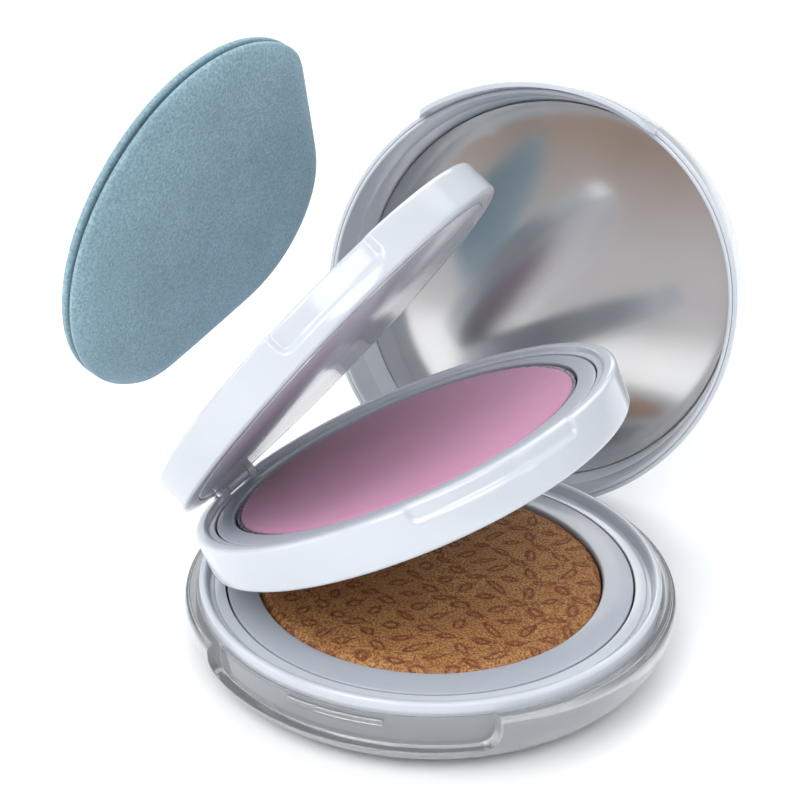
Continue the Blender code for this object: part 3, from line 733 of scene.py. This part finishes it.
def make_tray(mats):
    r = TRAY_RADIUS
    well = TRAY_WELL_RADIUS
    wall = [(r, z) for z in np.arange(TRAY_TOP_Z - 1.0, TRAY_LOW_Z + 1.6, -0.25)]
    top = fillet([(well, TRAY_LOW_Z, 0), (well, BLUSH_Z + 0.2, 0.05), (well + 0.9, BLUSH_Z + 0.2, 0.15),
                  (well + 1.2, TRAY_TOP_Z, 0.35), (r, TRAY_TOP_Z, 0.75), (r, TRAY_TOP_Z - 1.2, 0)], 7)[:-1]
    bottom = fillet([(r, TRAY_LOW_Z + 1.6, 0), (r, TRAY_LOW_Z, 1.3), (well, TRAY_LOW_Z, 0)], 7)[1:-1]
    half = TRAY_NOTCH_HALF_ANGLE
    centre = 270.0 + TRAY_NOTCH_HEADING
    angles = dense_angles((centre - half, centre + half), 4.0, 0.25, 1.5)
    notch = notch_shift(r, TRAY_NOTCH_HEADING, 0.5, TRAY_TOP_Z - 2.3, TRAY_TOP_Z + 2, half, True)
    tray = revolve_mesh("tray", top + wall + bottom, angles=angles, shift=notch)
    tidy_mesh(tray)
    x = TRAY_AXLE[0]
    lid_x, lid_z = TRAY_LID_AXLE[0], TRAY_LID_AXLE[2]
    steps = [("DIFFERENCE", block_mesh((-40.0, -31.75), (-5.7, 5.7), (17.15, 22.0)))]
    for side in (-1, 1):
        ends = sorted((side * 5.9, side * 8.7))
        steps.append(("DIFFERENCE", block_mesh((-40.0, x + 1.45), ends, (5.0, 22.0))))
    steps.append(("UNION", rod_mesh("Y", (-5.9, 5.9), TRAY_AXLE, 1.1)))
    for side in (-1, 1):
        ends = sorted((side * 3.55, side * 5.5))
        steps.append(("UNION", rod_mesh("Y", ends, TRAY_LID_AXLE, 0.95)))
        steps.append(("UNION", block_mesh((lid_x - 0.95, lid_x + 0.95), ends, (16.6, lid_z))))
    steps.append(("DIFFERENCE", rod_mesh("Y", (-7.0, 7.0), TRAY_AXLE, TRAY_BORE_RADIUS)))
    steps.append(("DIFFERENCE", rod_mesh("Y", (-6.5, 6.5), TRAY_LID_AXLE, TRAY_LID_BORE_RADIUS)))
    place("tray_ring", combine(tray, steps), "blush_tray", mats["white_plastic"], "tray_body",
          slot="white_plastic")

    outer = well - 0.3
    ring = fillet([(BLUSH_RADIUS + 0.15, TRAY_LOW_Z + 1.2, 0.1), (BLUSH_RADIUS + 0.15, BLUSH_Z - 0.2, 0.05),
                   (BLUSH_RADIUS + 0.2, BLUSH_Z + 0.18, 0.2), (outer, BLUSH_Z + 0.1, 0.2),
                   (outer, TRAY_LOW_Z + 1.2, 0.1)], 5)
    place("insert_ring", revolve_mesh("ring", ring), "blush_tray", mats["pale_flange"], "tray_insert_ring",
          slot="pale_flange")
    plate = fillet([(0.0, TRAY_LOW_Z + 1.0, 0), (well - 0.2, TRAY_LOW_Z + 1.0, 0.2),
                    (well - 0.2, TRAY_LOW_Z + 0.1, 0.2), (27.6, TRAY_LOW_Z + 0.1, 0.2),
                    (27.2, TRAY_LOW_Z + 0.35, 0.2), (0.0, TRAY_LOW_Z + 0.35, 0)], 4)
    place("tray_floor", revolve_mesh("plate", plate), "blush_tray", mats["white_plastic"], "tray_base_plate",
          slot="white_plastic")
    low = FLANGE_Z + 0.35
    seal = fillet([(28.6, TRAY_LOW_Z, 0.1), (30.4, TRAY_LOW_Z, 0.1), (30.2, low, 0.7), (28.8, low, 0.7)], 6)
    place("seal_ring", revolve_mesh("seal", seal), "blush_tray", mats["seal_silicone"], "tray_seal",
          slot="seal_silicone")

    radii = np.linspace(0, 1, 60)[1:] * BLUSH_CAKE_RADIUS
    waves = slow_waves(3, 0.1, 0.35, 8)

    def shape(points):
        out = points.copy()
        px, py, pz = points.T
        rr = np.hypot(px, py)
        top_side = pz > BLUSH_Z - 1.0
        soft = sum(np.sin(k * (px * math.cos(h) + py * math.sin(h)) + p) for k, h, p in waves) * 0.012
        crown = 0.1 * (1 - (rr / BLUSH_CAKE_RADIUS) ** 2)
        edge = 0.35 * smoothstep(BLUSH_CAKE_RADIUS - 0.8, BLUSH_CAKE_RADIUS, rr) ** 2
        out[:, 2] = np.where(top_side, pz + crown + soft - edge, pz)
        return out

    profile = [(0.0, BLUSH_Z)] + [(float(q), BLUSH_Z) for q in radii]
    profile += [(BLUSH_CAKE_RADIUS, 13.9), (BLUSH_CAKE_RADIUS - 0.4, 13.6), (0.0, 13.6)]
    place("pressed_blush", revolve_mesh("blush", profile, shift=shape), "blush_tray", mats["blush_powder"],
          "blush_powder", slot="blush_powder", angle=60.0)


def make_tray_lid(mats):
    r = TRAY_LID_RADIUS
    low, high = TRAY_LID_LOW_Z, TRAY_LID_TOP_Z
    floor_low = low + 0.6
    floor_high = floor_low + 0.7
    half = LID_NOTCH_HALF_ANGLE
    centre = 270.0 + LID_NOTCH_HEADING
    angles = dense_angles((centre - half, centre + half), 4.0, 0.25, 1.5)
    head = fillet([(0.0, floor_high, 0), (PUFF_WELL_RADIUS, floor_high, 0.4), (PUFF_WELL_RADIUS, high, 0.3),
                   (r, high, 0.6), (r, high - 1.2, 0)], 7)[:-1]
    wall = [(r, z) for z in np.arange(high - 1.0, low + 1.1, -0.2)]
    foot = fillet([(r, low + 1.1, 0), (r, low, 0.8), (30.6, low, 0.12), (30.6, floor_low, 0.1),
                   (0.0, floor_low, 0)], 7)[1:]
    lid = revolve_mesh("tray_lid", head + wall + foot, angles=angles,
                       shift=notch_shift(r, LID_NOTCH_HEADING, 0.7, low + 2.3, high + 2, half, True))
    tidy_mesh(lid)
    axle = TRAY_LID_AXLE
    steps = [("DIFFERENCE", block_mesh((-40.0, -31.7), (-5.8, 5.8), (10.0, 19.9))),
             ("UNION", rod_mesh("Y", (-3.25, 3.25), axle, 0.95)),
             ("UNION", block_mesh((axle[0] - 0.5, -31.2), (-3.25, 3.25), (18.95, 20.3))),
             ("DIFFERENCE", rod_mesh("Y", (-4.0, 4.0), axle, TRAY_LID_BORE_RADIUS))]
    place("tray_lid_body", combine(lid, steps), "tray_lid", mats["white_plastic"], "tray_lid_shell",
          slot="white_plastic")
    plate = fillet([(0.0, low + 0.5, 0), (30.4, low + 0.5, 0.1), (30.4, low, 0.15), (0.0, low, 0)], 4)
    place("tray_lid_panel", revolve_mesh("plate", plate), "tray_lid", mats["white_plastic"],
          "tray_lid_inner_plate", slot="white_plastic")


# ---- puff ----

def puff_outline(count=300):
    """Unit drop shape with its tip towards +Y, as evenly spaced points."""
    tip_radius = PUFF_TIP_ROUNDING
    tip_centre = PUFF_TIP_REACH - tip_radius
    raw = [(math.cos(math.radians(a)), math.sin(math.radians(a))) for a in range(170, 371, 4)]
    raw += [(tip_radius * math.cos(math.radians(a)), tip_centre + tip_radius * math.sin(math.radians(a)))
            for a in range(36, 145, 4)]
    raw = np.array(raw + raw[:1])
    for _ in range(2):
        steps = np.hypot(*np.diff(raw, axis=0).T)
        s = np.concatenate([[0.0], np.cumsum(steps)])
        even = np.linspace(0, s[-1], count, endpoint=False)
        raw = np.stack([np.interp(even, s, raw[:, i]) for i in (0, 1)], 1)
        kernel = np.ones(9) / 9
        raw = np.stack([np.convolve(np.concatenate([raw[-4:, i], raw[:, i], raw[:4, i]]), kernel, "valid")
                        for i in (0, 1)], 1)
        raw = np.concatenate([raw, raw[:1]])
    return raw[:-1]


def puff_layer(name, low, high, scale, rounding, material, node, slot, crown, seed):
    """One layer of the puff: rounded edge, faintly crowned face and slow unevenness."""
    outline = puff_outline() * PUFF_RADIUS * scale
    turn = math.radians(PUFF_TIP_TURN)
    outline = outline @ np.array([[math.cos(turn), math.sin(turn)], [-math.sin(turn), math.cos(turn)]])
    waves = slow_waves(seed, 0.08, 0.3, 8)
    section = [(0.0, high)]
    inner = [(float(q), high) for q in np.linspace(0, 1, 40)[1:-4]]
    count = 8
    edge = []
    for k in range(count + 1):
        a = math.radians(90 - 90 * k / count)
        edge.append((1 - (rounding - rounding * math.cos(a)) / PUFF_RADIUS,
                     high - rounding + rounding * math.sin(a)))
    under = [(q, low + high - z) for q, z in reversed(edge)]
    section += inner + edge + under + [(q, low) for q, _ in reversed(inner)] + [(0.0, low)]
    n = len(outline)
    verts, faces, rings = [], [], []
    for q, z in section:
        if q < 1e-6:
            rings.append([len(verts)])
            verts.append((0.0, 0.0, z))
        else:
            rings.append(list(range(len(verts), len(verts) + n)))
            verts.extend((q * x, q * y, z) for x, y in outline)
    for a, b in zip(rings, rings[1:]):
        for i in range(n):
            j = (i + 1) % n
            if len(a) == 1:
                faces.append((a[0], b[i], b[j]))
            elif len(b) == 1:
                faces.append((a[i], b[0], a[j]))
            else:
                faces.append((a[i], b[i], b[j], a[j]))
    p = np.array(verts)
    r = np.hypot(p[:, 0], p[:, 1]) / PUFF_RADIUS
    soft = sum(np.sin(k * (p[:, 0] * math.cos(h) + p[:, 1] * math.sin(h)) + f) for k, h, f in waves) * 0.02
    middle = (low + high) / 2
    outward = np.sign(p[:, 2] - middle)
    face_up, face_down = crown
    p[:, 2] += np.where(outward > 0, face_up, face_down) * (1 - np.clip(r, 0, 1) ** 3) * outward + soft
    centre = (PUFF_LOW_Z + PUFF_TOP_Z) / 2
    from_edge = np.array([1 - q for q, _ in section for _ in range(1 if q < 1e-6 else n)])
    p[:, 2] = centre + (p[:, 2] - centre) * (1 - 0.42 * smoothstep(0.10, 0.0, from_edge) ** 2)
    mesh = bpy.data.meshes.new(name)
    mesh.from_pydata((p * MM).tolist(), [], faces)
    piece = place(name, mesh, "puff", material, node, slot=slot, angle=75.0)


def make_puff(mats):
    third = (PUFF_TOP_Z - PUFF_LOW_Z) / 3
    a, b = PUFF_LOW_Z + third + 0.35, PUFF_TOP_Z - third - 0.35
    puff_layer("puff_lower_skin", PUFF_LOW_Z + 0.1, a, 1.0, 0.62, mats["puff_fabric"],
               "puff_face", "puff_fabric", (0.0, 0.12), 5)
    puff_layer("puff_core", a + 0.03, b - 0.03, 0.965, 0.4, mats["puff_foam"],
               "puff_foam", "puff_foam", (0, 0), 5)
    puff_layer("puff_upper_skin", b, PUFF_TOP_Z - 0.1, 1.0, 0.62, mats["puff_fabric"],
               "puff_back", "puff_fabric", (0.12, 0.0), 5)


def make_materials():
    return {
        "clear_plastic": clear_plastic("clear_plastic"),
        "white_plastic": moulded_plastic("white_plastic", (0.585, 0.625, 0.68), 0.16),
        "pale_flange": moulded_plastic("pale_flange", (0.44, 0.48, 0.54), 0.30),
        "foundation_sponge": sponge_material("foundation_sponge"),
        "blush_powder": powder_material("blush_powder"),
        "pan_metal": metal("pan_metal", (0.75, 0.76, 0.78), 0.3),
        "steel_pin": metal("steel_pin", (0.70, 0.71, 0.73), 0.25),
        "mirror_glass": mirror_material("mirror_glass"),
        "adhesive_pad": moulded_plastic("adhesive_pad", (0.30, 0.31, 0.33), 0.8, grain=1.0),
        "seal_silicone": moulded_plastic("seal_silicone", (0.66, 0.70, 0.74), 0.55, grain=0.5),
        "puff_fabric": puff_material("puff_fabric", (0.36, 0.53, 0.60), (0.17, 0.275, 0.34)),
        "puff_foam": puff_material("puff_foam", (0.26, 0.37, 0.43), (0.13, 0.20, 0.25), 0.1),
    }


def dress_cad_nodes(mats):
    """The inner CAD nodes keep their shape and take the finished materials."""
    slots = {part["node"]: part["material_slot"] for part in frame["record"]["subparts"]}
    for name in ("refill_pot", "blush_pan", "mirror_adhesive_pad", "lid_hinge_pin", "tray_hinge_pin",
                 "tray_lid_hinge_pin"):
        node = frame["nodes"][name]
        node.data.materials.clear()
        node.data.materials.append(mats[slots[name]])


make_camera()
make_stage()
MATERIALS = make_materials()
dress_cad_nodes(MATERIALS)
make_base(MATERIALS)
make_sponge(MATERIALS)
make_lid(MATERIALS)
make_tray(MATERIALS)
make_tray_lid(MATERIALS)
make_puff(MATERIALS)
